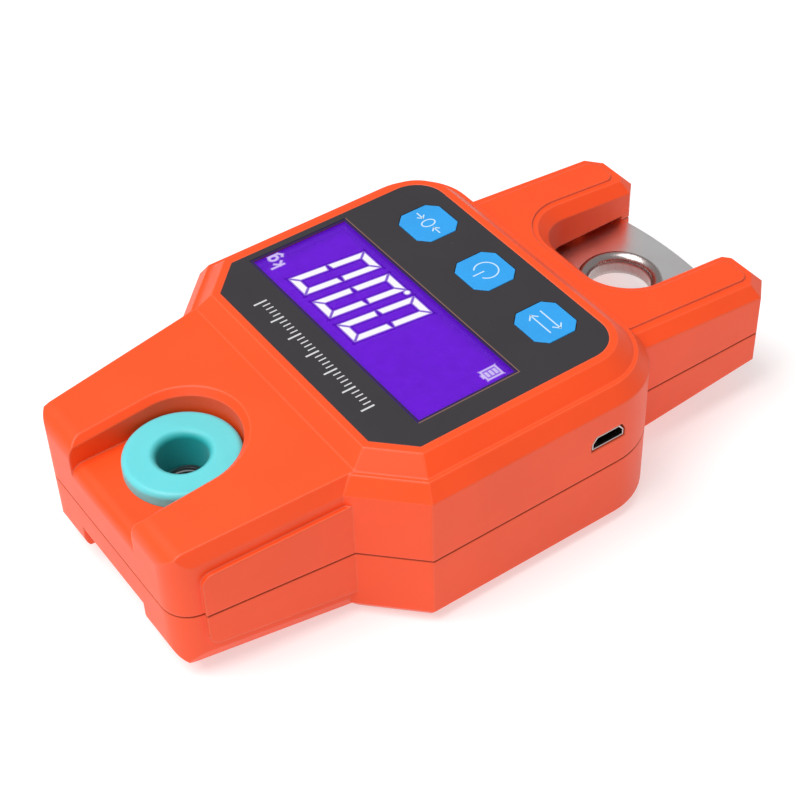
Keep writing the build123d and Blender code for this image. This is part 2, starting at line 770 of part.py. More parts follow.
with BuildPart() as hook_plate:
    with BuildSketch(level(plate_low)):
        with BuildLine():
            Polyline((-plate_half_width, arc_side_y), (-plate_half_width, shoulder_y),
                     (-tongue_half_width, shoulder_y), (-tongue_half_width, tongue_end_y),
                     (tongue_half_width, tongue_end_y), (tongue_half_width, shoulder_y),
                     (plate_half_width, shoulder_y), (plate_half_width, arc_side_y))
            ThreePointArc((plate_half_width, arc_side_y), (0, plate_edge_y), (-plate_half_width, arc_side_y))
        make_face()
    extrude(amount=plate_thickness)
    add(posts(eyelet_neck_radius, [(0, eyelet_y)], plate_cut), mode=Mode.SUBTRACT)
    add(posts(boss_radius + 0.5, fork_screws, plate_cut), mode=Mode.SUBTRACT)
    add(posts(clevis_bolt_radius + 0.25, clevis_bolt_places, plate_cut), mode=Mode.SUBTRACT)
    chamfer(hook_plate.edges().group_by(Axis.Z)[-1].sort_by(Axis.Y)[0], 0.3)
save(hook_plate.part, "hook_plate")

# flared eyelet clinched through the plate
eyelet_land = 0.8          # half length of its straight bore
eyelet_lip = 1.1           # height of each crest over the plate
land_low = seam_z + plate_mid - eyelet_land
land_high = seam_z + plate_mid + eyelet_land
face_low = seam_z + plate_low
face_high = seam_z + plate_high
with BuildPart() as eyelet_ring:
    with BuildSketch(Plane.XZ.offset(-eyelet_y)):
        with BuildLine():
            crest_high = (eyelet_crest_radius, face_high + eyelet_lip)
            crest_low = (eyelet_crest_radius, face_low - eyelet_lip)
            Line((eyelet_hole_radius, land_low), (eyelet_hole_radius, land_high))
            TangentArc((eyelet_hole_radius, land_high), crest_high, tangent=(0, 1))
            TangentArc(crest_high, (eyelet_outer_radius, face_high), tangent=(1, 0))
            Polyline((eyelet_outer_radius, face_high), (eyelet_neck_radius, face_high),
                     (eyelet_neck_radius, face_low), (eyelet_outer_radius, face_low))
            TangentArc(crest_low, (eyelet_outer_radius, face_low), tangent=(1, 0))
            TangentArc((eyelet_hole_radius, land_low), crest_low, tangent=(0, -1))
        make_face()
    revolve(axis=Axis((0, eyelet_y, 0), (0, 0, 1)))
save(eyelet_ring.part, "eyelet_ring")


hexagon_radius = 4.7       # across the corners, halved
bolt_head_height = 3.2
nut_height = 2.8


def hexagons(low, height):
    """Hexagonal bodies of the clevis hardware, built upwards from a height."""
    with BuildPart() as made:
        with BuildSketch(level(low)):
            with Locations(*clevis_bolt_places):
                RegularPolygon(hexagon_radius, 6)
        extrude(amount=height)
    return made.part


with BuildPart() as clevis_bolts:
    add(hexagons(cell_z[1], bolt_head_height))
    add(posts(clevis_bolt_radius, clevis_bolt_places, (cell_z[0] - nut_height - 0.4, cell_z[1])))
save(clevis_bolts.part, "clevis_bolts")

with BuildPart() as clevis_nuts:
    add(hexagons(cell_z[0] - nut_height, nut_height))
    add(posts(clevis_bolt_radius + 0.05, clevis_bolt_places, (cell_z[0] - nut_height, cell_z[0])),
        mode=Mode.SUBTRACT)
save(clevis_nuts.part, "clevis_nuts")


# ---- grommets ----
def grommet(floor, face, crown):
    """Rubber bush from the load cell's face up to a rounded crown over the recess floor."""
    lip = grommet_hole_radius + grommet_lip_radius
    lip_height = crown - grommet_lip_radius
    edge = grommet_radius - grommet_edge_radius
    edge_height = crown - grommet_edge_radius
    with BuildPart() as made:
        with BuildSketch(Plane.XZ.offset(-eye_y)):
            with BuildLine():
                Polyline((grommet_hole_radius, lip_height), (grommet_hole_radius, face),
                         (collar_radius, face), (collar_radius, floor),
                         (grommet_radius, floor), (grommet_radius, edge_height))
                TangentArc((grommet_radius, edge_height), (edge, crown), tangent=(0, 1))
                Line((edge, crown), (lip, crown))
                TangentArc((lip, crown), (grommet_hole_radius, lip_height), tangent=(-1, 0))
            make_face()
        revolve(axis=Axis((0, eye_y, 0), (0, 0, 1)))
    return made.part


front_grommet = grommet(front_recess_floor, cell_z[1], front_crown)
save(front_grommet.translate((0, 0, seam_z)), "front_grommet")
back_grommet = grommet(back_recess_floor, -cell_z[0], back_crown)
save(back_grommet.translate((0, 0, seam_z)).mirror(Plane.XY.offset(seam_z)), "back_grommet")


# ---- screws ----
def screws(name, places, seat, length, radius, head_radius, head_height):
    """Round-headed screws driven upwards; seat is the height of the underside of the head."""
    with BuildPart() as made:
        add(posts(radius, places, (seat, seat + length)))
        add(posts(head_radius, places, (seat - head_height, seat)))
        heads = made.edges().group_by(Axis.Z)[0]
        fillet(heads, head_height * 0.35)
        with BuildSketch(level(seat - head_height)):
            with Locations(*places):
                Rectangle(head_radius * 1.1, head_radius * 0.25)
                Rectangle(head_radius * 0.25, head_radius * 1.1)
        extrude(amount=head_height * 0.5, mode=Mode.SUBTRACT)
    save(made.part, name)


thread_radius = casing_screw_radius - 0.02
screws("casing_screws", casing_screw_places, casing_screw_seat, casing_screw_length, thread_radius,
       casing_screw_head, 2.0)
screws("board_screws", board_places, board_bottom, board_screw_length, board_screw_radius - 0.02, 2.2, 1.5)
screws("cell_screws", cell_screw_places, cell_screw_seat, 15.0, thread_radius, casing_screw_head, 1.8)
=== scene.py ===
"""Looks for the hanging scale: materials, lit reading, printed marks, studio floor, light and camera."""
import math

import bmesh
import bpy
from mathutils import Matrix, Vector


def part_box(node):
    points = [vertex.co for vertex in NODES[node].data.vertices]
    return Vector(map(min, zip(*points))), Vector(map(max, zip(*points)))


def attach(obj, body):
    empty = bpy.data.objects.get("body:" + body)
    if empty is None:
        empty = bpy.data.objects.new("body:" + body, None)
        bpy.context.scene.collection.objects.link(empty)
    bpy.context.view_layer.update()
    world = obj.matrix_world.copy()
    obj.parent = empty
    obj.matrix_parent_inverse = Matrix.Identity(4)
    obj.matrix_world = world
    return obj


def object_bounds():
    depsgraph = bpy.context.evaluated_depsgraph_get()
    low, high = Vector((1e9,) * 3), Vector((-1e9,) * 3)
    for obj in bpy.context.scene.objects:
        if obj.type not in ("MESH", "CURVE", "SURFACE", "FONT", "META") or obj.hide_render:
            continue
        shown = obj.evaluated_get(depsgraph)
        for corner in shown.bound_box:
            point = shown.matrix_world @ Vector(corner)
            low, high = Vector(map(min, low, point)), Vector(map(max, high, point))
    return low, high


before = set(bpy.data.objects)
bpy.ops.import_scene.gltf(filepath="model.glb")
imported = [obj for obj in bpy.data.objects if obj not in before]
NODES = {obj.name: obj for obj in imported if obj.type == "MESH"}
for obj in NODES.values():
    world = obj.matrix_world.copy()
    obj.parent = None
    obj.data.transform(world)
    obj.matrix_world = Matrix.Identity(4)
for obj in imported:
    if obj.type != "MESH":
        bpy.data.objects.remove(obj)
cad_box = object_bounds()

MM = 0.001
LAYER = 0.02 * MM          # step between the stacked lit layers
FILM_PRINT = 0.012 * MM    # ink above the overlay film
KEY_PRINT = 0.004 * MM     # ink above a key
EYE_RADIUS = 5.0 * MM      # hole through the grommets

# Sockets of a colour mix node, which go by number
MIX_FACTOR, MIX_FIRST, MIX_SECOND = 0, 6, 7
MIX_RESULT = 2


# ---------------------------------------------------------------- places taken from the frame
window_low, window_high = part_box("lcd_window")
window_middle = (window_low + window_high) / 2
glass_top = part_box("lcd_glass")[1].z
overlay_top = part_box("front_overlay")[1].z
cover_low, cover_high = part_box("front_cover")
seam_z = cover_low.z
eye_low, eye_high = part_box("eye_bush")
eye_centre = (eye_low + eye_high) / 2
key_tops = {}    # middle of each key's top face
for key in ("tare", "power", "unit"):
    low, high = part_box(f"{key}_key")
    key_tops[key] = Vector(((low.x + high.x) / 2, (low.y + high.y) / 2, high.z))


# ---------------------------------------------------------------- shader helpers
class Shader:
    """A node material under construction, in the object's own coordinates (the shared frame, in metres)."""

    def __init__(self, name):
        self.material = bpy.data.materials.new(name)
        self.material.use_nodes = True
        self.tree = self.material.node_tree
        self.tree.nodes.clear()
        self.output = self.add("ShaderNodeOutputMaterial")
        self.place = self.add("ShaderNodeTexCoord").outputs["Object"]

    def feed(self, socket, value):
        """Links another node's output to a socket, or sets the socket's own value."""
        if isinstance(value, bpy.types.NodeSocket):
            self.tree.links.new(value, socket)
        else:
            socket.default_value = value

    def add(self, kind, settings=None, **inputs):
        """A node with its settings, its inputs given as values or as other nodes' outputs."""
        node = self.tree.nodes.new(kind)
        for key, value in (settings or {}).items():
            setattr(node, key, value)
        for key, value in inputs.items():
            self.feed(node.inputs[key.replace("_", " ")], value)
        return node

    def finish(self, shader):
        self.feed(self.output.inputs["Surface"], shader)

    def principled(self, **inputs):
        self.finish(self.add("ShaderNodeBsdfPrincipled", **inputs).outputs["BSDF"])

    def see_through(self, cover, shader, tint=(1.0, 1.0, 1.0)):
        """Finishes with a shader that covers a transparent one."""
        clear = self.add("ShaderNodeBsdfTransparent", Color=(*tint, 1)).outputs["BSDF"]
        mixed = self.add("ShaderNodeMixShader", Fac=cover)
        self.feed(mixed.inputs[1], clear)
        self.feed(mixed.inputs[2], shader)
        self.finish(mixed.outputs["Shader"])

    def math(self, operation, *values):
        """One sum on values or sockets."""
        node = self.add("ShaderNodeMath", {"operation": operation})
        for socket, value in zip(node.inputs, values):
            self.feed(socket, value)
        return node.outputs["Value"]

    def axes(self):
        """The place coordinates as separate X, Y and Z."""
        return self.add("ShaderNodeSeparateXYZ", Vector=self.place).outputs

    def stretched(self, scale):
        """The place coordinates scaled per axis, for grain that runs one way."""
        return self.add("ShaderNodeMapping", Vector=self.place, Scale=scale).outputs["Vector"]

    def noise(self, scale, detail=2.0, vector=None):
        """Fractal noise from 0 to 1, with a scale per metre."""
        node = self.add("ShaderNodeTexNoise", Vector=vector or self.place, Scale=scale, Detail=detail)
        return node.outputs["Fac"]

    def span(self, value, start, end, low=0.0, high=1.0):
        """Maps start to end on to low to high, and holds it outside them."""
        node = self.add("ShaderNodeMapRange", Value=value, From_Min=start, From_Max=end,
                        To_Min=low, To_Max=high)
        return node.outputs["Result"]

    def about(self, fac, middle, spread):
        """A number that varies about a middle as a value goes from 0 to 1."""
        return self.span(fac, 0.0, 1.0, middle - spread, middle + spread)

    def colours(self, fac, first, second, start=0.35, end=0.65):
        """Blends two colours as a value goes from start to end."""
        node = self.add("ShaderNodeValToRGB", Fac=fac)
        stops = node.color_ramp.elements
        for stop, position, colour in zip(stops, (start, end), (first, second)):
            stop.position = position
            stop.color = (*colour, 1)
        return node.outputs["Color"]

    def blend(self, fac, first, second):
        """Mixes two colours, each plain or a socket."""
        node = self.add("ShaderNodeMix", {"data_type": "RGBA"})
        self.feed(node.inputs[MIX_FACTOR], fac)
        for number, colour in ((MIX_FIRST, first), (MIX_SECOND, second)):
            is_socket = isinstance(colour, bpy.types.NodeSocket)
            self.feed(node.inputs[number], colour if is_socket else (*colour, 1))
        return node.outputs[MIX_RESULT]

    def bump(self, height, depth, strength=0.5, **normal):
        """Surface relief of a depth in metres, on a given normal or on the surface's own."""
        node = self.add("ShaderNodeBump", Height=height, Distance=depth, Strength=strength, **normal)
        return node.outputs["Normal"]

    def soft_edges(self, radius, samples=6):
        """Normals rounded over the edges, as a moulding's are."""
        return self.add("ShaderNodeBevel", {"samples": samples}, Radius=radius).outputs["Normal"]

    def edge_mask(self, rounded):
        """1 on edges and 0 on flat faces, from how far the rounded normal leans from the face's."""
        flat_cosine, edge_cosine = 0.995, 0.80
        face = self.add("ShaderNodeNewGeometry").outputs["Normal"]
        dot = self.add("ShaderNodeVectorMath", {"operation": "DOT_PRODUCT"})
        self.feed(dot.inputs[0], face)
        self.feed(dot.inputs[1], rounded)
        return self.span(dot.outputs["Value"], flat_cosine, edge_cosine)


def lighter(colour, factor):
    """A colour times a factor, which darkens it when below 1."""
    return tuple(min(1.0, c * factor) for c in colour)


def moulded_plastic(name, colour, edge_highlight_and_wear, roughness, edge):
    """Moulded thermoplastic: eroded-mould grain, faint mottling, polished edges lightened by wear and a
    painted highlight, and a dark parting line.
    """
    highlight_and_wear_cover, edge_polish = 0.5, 0.08
    line_half, line_fade = 0.12 * MM, 0.3 * MM
    line_cover, line_shade = 0.8, 0.35
    grain_depth = 0.012 * MM
    s = Shader(name)
    rounded = s.soft_edges(edge)
    mask = s.edge_mask(rounded)
    mottling = s.noise(38.0, 4.0)
    satin = s.noise(160.0, 3.0)
    grain = s.noise(3200.0)
    tone = s.colours(mottling, lighter(colour, 0.955), lighter(colour, 1.03))
    # edges blended towards a paler orange: partly wear, partly a painted highlight along every edge
    tone = s.blend(s.math("MULTIPLY", mask, highlight_and_wear_cover), tone, edge_highlight_and_wear)
    from_seam = s.math("ABSOLUTE", s.math("SUBTRACT", s.axes()["Z"], seam_z))
    line = s.span(from_seam, line_half, line_fade, line_cover, 0.0)
    tone = s.blend(line, tone, lighter(colour, line_shade))
    polished = s.math("SUBTRACT", s.about(satin, roughness, 0.05), s.math("MULTIPLY", mask, edge_polish))
    s.principled(Base_Color=tone, Roughness=polished, IOR=1.42,
                 Normal=s.bump(grain, grain_depth, Normal=rounded))
    return s.material


def elastomer(name, colour, hole_shade, roughness, edge, scatter):
    """Silicone rubber: slightly translucent, with a dusty sheen and painted shade inside the eye's hole."""
    hole_shade_from = EYE_RADIUS + 1.3 * MM
    grain_depth = 0.008 * MM
    s = Shader(name)
    rounded = s.soft_edges(edge)
    mottling = s.noise(120.0, 3.0)
    dust = s.noise(900.0)
    grain = s.noise(2600.0)
    tone = s.colours(mottling, lighter(colour, 0.92), colour, 0.2, 0.6)
    place = s.axes()
    off_x = s.math("SUBTRACT", place["X"], eye_centre.x)
    off_y = s.math("SUBTRACT", place["Y"], eye_centre.y)
    radius = s.math("SQRT", s.math("ADD", s.math("MULTIPLY", off_x, off_x), s.math("MULTIPLY", off_y, off_y)))
    # painted shade: a darker colour inside the eye's hole, within a set distance of its axis
    tone = s.blend(s.span(radius, hole_shade_from, EYE_RADIUS), tone, hole_shade)
    s.principled(Base_Color=tone, Roughness=s.about(dust, roughness, 0.06), IOR=1.42,
                 Subsurface_Weight=scatter, Subsurface_Radius=(0.6, 1.0, 1.0), Subsurface_Scale=1.2 * MM,
                 Sheen_Weight=0.08, Sheen_Roughness=0.5,
                 Normal=s.bump(grain, grain_depth, Normal=rounded))
    return s.material


def metal(name, colour, roughness, grain=(1.0, 1.0, 1.0), scale=900.0, relief=0.006 * MM):
    """Bare metal with grain along the axis that the stretch leaves long, and a few smudges."""
    edge = 0.2 * MM
    s = Shader(name)
    rounded = s.soft_edges(edge)
    lines = s.noise(scale, 3.0, s.stretched(grain))
    smudge = s.noise(55.0, 3.0)
    tone = s.colours(smudge, lighter(colour, 0.9), lighter(colour, 1.06), 0.3, 0.7)
    rough = s.math("ADD", s.about(lines, roughness, 0.06), s.span(smudge, 0.0, 1.0, -0.04, 0.05))
    s.principled(Base_Color=tone, Metallic=1.0, Roughness=rough,
                 Normal=s.bump(lines, relief, 0.6, Normal=rounded))
    return s.material


def turned_metal(name, colour, roughness, pitch, relief):
    """Metal turned on a lathe: fine tool rings along Z."""
    s = Shader(name)
    ring_scale = 1.0 / (math.pi * pitch)
    rings = s.add("ShaderNodeTexWave", {"bands_direction": "Z", "wave_profile": "SIN"}, Vector=s.place,
                  Scale=ring_scale, Distortion=0.4).outputs["Fac"]
    tone = s.colours(rings, lighter(colour, 0.35), colour, 0.15, 0.7)
    s.principled(Base_Color=tone, Metallic=1.0,
                 Roughness=s.span(s.noise(300.0), 0.0, 1.0, roughness, roughness + 0.12),
                 Normal=s.bump(rings, relief, 0.9))
    return s.material


def printed_film(name, colour):
    """Matt polycarbonate film printed from behind: very fine orange-peel and dust specks."""
    edge, peel_depth = 0.12 * MM, 0.006 * MM
    dust, dust_cover = (0.35, 0.34, 0.35), 0.12
    s = Shader(name)
    specks = s.math("GREATER_THAN", s.noise(1500.0, 1.0), 0.79)
    tone = s.colours(s.noise(60.0, 4.0), lighter(colour, 0.93), lighter(colour, 1.07))
    tone = s.blend(s.math("MULTIPLY", specks, dust_cover), tone, dust)
    s.principled(Base_Color=tone, Roughness=s.about(s.noise(500.0), 0.47, 0.05), IOR=1.5,
                 Normal=s.bump(s.noise(4200.0), peel_depth, Normal=s.soft_edges(edge, 4)))
    return s.material


def display_panel(name, colour, dark):
    """Back-lit negative panel: even violet glow that falls off a little towards the rim."""
    rim_width = 1.6 * MM
    s = Shader(name)
    place = s.axes()
    half = (window_high - window_low) / 2
    along = s.math("ABSOLUTE", s.math("SUBTRACT", place["X"], window_middle.x))
    across = s.math("ABSOLUTE", s.math("SUBTRACT", place["Y"], window_middle.y))
    from_rim = s.math("MINIMUM", s.math("SUBTRACT", half.x, along), s.math("SUBTRACT", half.y, across))
    cells = s.about(s.noise(5000.0, 1.0), 1.0, 0.015)
    glow = s.blend(s.math("MULTIPLY", s.span(from_rim, 0.0, rim_width), cells), dark, colour)
    s.principled(Base_Color=(0.01, 0.004, 0.02, 1), Roughness=s.about(s.noise(700.0), 0.30, 0.05),
                 Emission_Color=glow, Emission_Strength=1.0)
    return s.material


def clear_window(name):
    """Thin clear acrylic: see-through with a Fresnel gloss and faint wipe marks."""
    s = Shader(name)
    wipes = s.noise(90.0, 5.0, s.stretched((0.3, 3.0, 1.0)))
    gloss = s.add("ShaderNodeBsdfGlossy", Roughness=s.span(wipes, 0.0, 1.0, 0.05, 0.16)).outputs["BSDF"]
    facing = s.add("ShaderNodeFresnel", IOR=1.16).outputs["Fac"]
    s.see_through(facing, gloss, tint=(0.97, 0.97, 0.98))
    return s.material


def lit_ink(name, colour, strength, cover):
    """Lit liquid-crystal segments; cover below 1 lets the panel show through, for their soft fringe."""
    s = Shader(name)
    shade = s.colours(s.noise(2500.0, 1.0), lighter(colour, 0.94), colour, 0.2, 0.6)
    s.see_through(cover, s.add("ShaderNodeEmission", Color=shade, Strength=strength).outputs["Emission"])
    return s.material


def ink(name, colour, roughness=0.5):
    """Screen-printed ink with slightly uneven cover."""
    s = Shader(name)
    tone = s.colours(s.noise(3000.0), lighter(colour, 0.86), colour, 0.3, 0.55)
    s.principled(Base_Color=tone, Roughness=s.about(s.noise(1500.0), roughness, 0.06),
                 Normal=s.bump(s.noise(5000.0), 0.004 * MM, 0.4))
    return s.material


def circuit_board(name):
    """Green solder mask over copper runs on a coarse grid."""
    s = Shader(name)
    runs = s.add("ShaderNodeTexBrick", {"offset": 0.35}, Vector=s.place, Scale=160.0, Mortar_Size=0.05,
                 Color1=(0.010, 0.110, 0.050, 1), Color2=(0.008, 0.085, 0.040, 1),
                 Mortar=(0.03, 0.21, 0.09, 1))
    s.principled(Base_Color=runs.outputs["Color"],
                 Roughness=s.span(s.noise(200.0), 0.0, 1.0, 0.25, 0.38),
                 Normal=s.bump(runs.outputs["Fac"], 0.03 * MM), Coat_Weight=0.3)
    return s.material


def hidden_part(name, colour, roughness, metallic=0.0):
    """Small inner part: mottled colour with its own fine grain."""
    s = Shader(name)
    tone = s.colours(s.noise(400.0, 3.0), lighter(colour, 0.85), lighter(colour, 1.1))
    s.principled(Base_Color=tone, Metallic=metallic, Roughness=s.about(s.noise(1200.0), roughness, 0.08),
                 Normal=s.bump(s.noise(1800.0), 0.01 * MM))
    return s.material


# ---------------------------------------------------------------- materials on the CAD nodes
orange = (0.95, 0.078, 0.010)
# paler orange for the casing's edges: partly wear, partly a painted highlight
orange_edge_highlight_and_wear = (1.0, 0.26, 0.14)
turquoise = (0.135, 0.66, 0.70)
# painted shade for the inside of the grommets' eye hole
turquoise_hole_shade = (0.010, 0.40, 0.41)
sky_blue = (0.020, 0.33, 0.78)
charcoal = (0.026, 0.022, 0.027)
violet = (0.150, 0.003, 0.70)
violet_dark = (0.07, 0.003, 0.40)

casing = moulded_plastic("casing_orange", orange, orange_edge_highlight_and_wear, roughness=0.44, edge=0.6 * MM)
grommet = elastomer("grommet_turquoise", turquoise, turquoise_hole_shade,
                    roughness=0.42, edge=0.3 * MM, scatter=0.2)
key_rubber = elastomer("key_blue", sky_blue, sky_blue, roughness=0.5, edge=0.25 * MM, scatter=0.1)
steel = metal("screw_steel", (0.62, 0.62, 0.63), roughness=0.32, scale=1200.0)
chip_black = hidden_part("chip_black", (0.03, 0.03, 0.032), 0.5)
finishes = {
    "front_cover": casing,
    "back_cover": casing,
    "front_overlay": printed_film("overlay_charcoal", charcoal),
    "lcd_window": clear_window("window_clear"),
    "lcd_glass": display_panel("lcd_violet", violet, violet_dark),
    "lcd_backlight": hidden_part("light_guide_white", (0.85, 0.85, 0.88), 0.2),
    "lcd_holder": hidden_part("holder_white", (0.8, 0.8, 0.78), 0.5),
    "lcd_pins": steel,
    "tare_key": key_rubber,
    "power_key": key_rubber,
    "unit_key": key_rubber,
    "tare_plunger": chip_black,
    "power_plunger": chip_black,
    "unit_plunger": chip_black,
    "switch_bodies": steel,
    "main_board": circuit_board("board_green"),
    "usb_shell": metal("usb_steel", (0.50, 0.47, 0.46), roughness=0.2, grain=(0.1, 1, 1), scale=1500.0),
    "usb_tongue": hidden_part("tongue_black", (0.012, 0.012, 0.012), 0.45),
    "controller_chip": chip_black,
    "adc_chip": chip_black,
    "charger_chip": chip_black,
    "capacitors": hidden_part("capacitor_tan", (0.35, 0.22, 0.12), 0.45),
    "crystal": steel,
    "buzzer": chip_black,
    "battery": hidden_part("battery_silver", (0.6, 0.61, 0.63), 0.35, metallic=0.8),
    "battery_pad": hidden_part("pad_foam", (0.04, 0.04, 0.04), 0.9),
    "battery_socket": hidden_part("socket_white", (0.8, 0.78, 0.7), 0.5),
    "battery_lead_red": hidden_part("lead_red", (0.5, 0.01, 0.01), 0.45),
    "battery_lead_black": hidden_part("lead_black", (0.01, 0.01, 0.01), 0.45),
    "cell_wires": hidden_part("lead_white", (0.8, 0.8, 0.78), 0.5),
    "load_cell": metal("cell_aluminium", (0.68, 0.69, 0.71), roughness=0.34, grain=(1, 0.06, 1),
                       scale=1400.0),
    "strain_gauges": hidden_part("gauge_amber", (0.45, 0.2, 0.03), 0.4),
    "gauge_terminals": hidden_part("terminal_green", (0.03, 0.2, 0.08), 0.4),
    "eye_bush": turned_metal("bush_steel", (0.42, 0.43, 0.44), roughness=0.25, pitch=1.1 * MM,
                             relief=0.12 * MM),
    "hook_plate": metal("plate_steel", (1.0, 0.95, 0.98), roughness=0.30, scale=2200.0,
                        relief=0.004 * MM),
    "eyelet_ring": metal("ring_steel", (0.45, 0.39, 0.38), roughness=0.26, grain=(1, 1, 0.05),
                         scale=1500.0),
    "clevis_bolts": steel,
    "clevis_nuts": steel,
    "casing_screws": steel,
    "board_screws": steel,
    "cell_screws": steel,
    "front_grommet": grommet,
    "back_grommet": grommet,
}
for node, material in finishes.items():
    NODES[node].data.materials.clear()
    NODES[node].data.materials.append(material)


# ---------------------------------------------------------------- flat shapes, built as thin meshes
def flat_object(name, outlines, height, material):
    """One object of flat polygons (lists of x, y in millimetres) that face up, at a height in metres."""
    mesh = bmesh.new()
    for outline in outlines:
        mesh.faces.new([mesh.verts.new((x * MM, y * MM, height)) for x, y in outline])
    bmesh.ops.recalc_face_normals(mesh, faces=mesh.faces)
    for face in mesh.faces:
        if face.normal.z < 0:
            face.normal_flip()
    data = bpy.data.meshes.new(name)
    mesh.to_mesh(data)
    mesh.free()
    data.materials.append(material)
    made = bpy.data.objects.new(name, data)
    bpy.context.scene.collection.objects.link(made)
    return made


def flat_piece(name, outlines, height, material, body):
    """Flat marks that ride a body."""
    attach(flat_object(name, outlines, height, material), body)


def ribbon(points, width, closed=False):
    """Quads along a line of points, mitred at the corners."""
    least_cosine = 0.4    # keeps the mitre of a sharp corner short
    places = [Vector(p) for p in points]
    count = len(places)
    sides = []
    for i, here in enumerate(places):
        before = places[i - 1] if i or closed else here
        after = places[(i + 1) % count] if i < count - 1 or closed else here
        into = (here - before).normalized() if here != before else (after - here).normalized()
        out = (after - here).normalized() if after != here else into
        across = Vector((-(into.y + out.y), into.x + out.x)).normalized()
        reach = width / 2 / max(least_cosine, across.dot(Vector((-into.y, into.x))))
        sides.append((here + across * reach, here - across * reach))
    ends = range(count if closed else count - 1)
    return [[tuple(sides[i][0]), tuple(sides[(i + 1) % count][0]),
             tuple(sides[(i + 1) % count][1]), tuple(sides[i][1])] for i in ends]


def arc(centre, radius, start, end, steps, stretch=1.0):
    """Points on an arc in degrees, widened along y by stretch."""
    turns = [math.radians(start + (end - start) * i / steps) for i in range(steps + 1)]
    return [(centre[0] + radius * math.cos(t), centre[1] + radius * stretch * math.sin(t)) for t in turns]


def loop(centre, radius, stretch=1.0):
    """The twenty corners of a closed ring."""
    corners = 20
    return arc(centre, radius, 0, 360 - 360 / corners, corners - 1, stretch)


def fringe(outlines, width):
    """A band straddling the rim of every outline."""
    return sum((ribbon(outline, width, closed=True) for outline in outlines), [])


def shifted(outlines, place):
    """The outlines moved to a place."""
    return [[(place[0] + x, place[1] + y) for x, y in outline] for outline in outlines]


# ---------------------------------------------------------------- the lit reading, in millimetres
digit_width = 6.0
digit_height = 16.8
digit_slant = 1.9
segment_width = 1.35
segment_gap = 0.42
reading_base = window_low.y / MM + 2.75
digit_starts = (-3.3, 5.4, 14.2)
point_place = (digit_starts[1] - 0.9, reading_base + 0.3)
point_radius = 0.55


def zero():
    """The six lit segments of a seven-segment nought, mitred at the corners, before slanting."""
    w, h, t, g = digit_width, digit_height, segment_width, segment_gap
    top = [(g, h), (w - g, h), (w - t - g, h - t), (t + g, h - t)]
    upper = [(0, h - g), (t, h - t - g), (t, h / 2 + t / 2), (0, h / 2 + g)]

    def flipped_x(outline):
        return [(w - x, y) for x, y in outline]

    def flipped_y(outline):
        return [(x, h - y) for x, y in outline]

    return [top, upper, flipped_x(upper), flipped_y(top), flipped_y(upper), flipped_y(flipped_x(upper))]


def slanted(outlines):
    """The outlines leaning in the reading direction, by the digits' slant."""
    return [[(x + digit_slant * y / digit_height, y) for x, y in outline] for outline in outlines]


figures = []
for start in digit_starts:
    figures += shifted(slanted(zero()), (start, reading_base))
figures.append(loop(point_place, point_radius))

# kg sign: letters drawn from their lower left corner, with heights in parts of a small letter's
unit_height = 1.55
unit_stroke = 0.4
unit_place = (window_high.x / MM - 4.3, window_high.y / MM - 5.6)
letter_pitch = 2.0
g_stretch = 1.25
letter_k = (ribbon([(0, 0), (0, 2 * unit_height)], unit_stroke)
            + ribbon([(1.1, 1.25 * unit_height), (0.15, 0.62 * unit_height), (1.2, 0)], unit_stroke))
letter_g = (ribbon(loop((0.75, 0.62 * unit_height), 0.72, g_stretch), unit_stroke, closed=True)
            + ribbon([(1.5, 1.2 * unit_height), (1.5, -0.35 * unit_height), (0.75, -0.75 * unit_height),
                      (0.1, -0.5 * unit_height)], unit_stroke))
unit_marks = shifted(letter_k, unit_place) + shifted(letter_g, (unit_place[0] + letter_pitch, unit_place[1]))

# battery sign: an outline, three bars and a nub
gauge_width = 2.6
gauge_height = 3.4
gauge_stroke = 0.3
gauge_place = (window_low.x / MM + 2.0, window_low.y / MM + 2.2)
bar_inset, bar_stroke, bar_heights = 0.6, 0.55, (0.75, 1.7, 2.65)
nub_half, nub_rise, nub_stroke = 0.5, 0.35, 0.4
gauge_outline = ribbon([(0, 0), (gauge_width, 0), (gauge_width, gauge_height), (0, gauge_height)],
                       gauge_stroke, closed=True)
gauge_bars = [ribbon([(bar_inset, y), (gauge_width - bar_inset, y)], bar_stroke) for y in bar_heights]
gauge_nub = ribbon([(gauge_width / 2 - nub_half, gauge_height + nub_rise),
                    (gauge_width / 2 + nub_half, gauge_height + nub_rise)], nub_stroke)
gauge_marks = shifted(gauge_outline + sum(gauge_bars, []) + gauge_nub, gauge_place)

small_signs = unit_marks + gauge_marks
lit_white = lit_ink("segment_white", (0.97, 0.96, 1.0), strength=1.05, cover=1.0)
lit_soft = lit_ink("segment_soft", (0.60, 0.42, 0.97), strength=1.0, cover=0.55)
lit_halo = lit_ink("segment_halo", (0.05, 0.002, 0.36), strength=1.0, cover=0.35)
lit_faint = lit_ink("segment_faint", (0.72, 0.62, 0.97), strength=1.0, cover=0.85)
halo_width, soft_width, sign_fringe = 1.4, 0.5, 0.35
lit_layers = (
    ("reading_halo", fringe(figures, halo_width), lit_halo),
    ("reading_soft", fringe(figures, soft_width), lit_soft),
    ("reading_figures", figures, lit_white),
    ("sign_halo", fringe(small_signs, sign_fringe), lit_soft),
    ("small_signs", small_signs, lit_faint),
)
for layer, (name, outlines, light) in enumerate(lit_layers, start=1):
    flat_piece(name, outlines, glass_top + layer * LAYER, light, "casing")


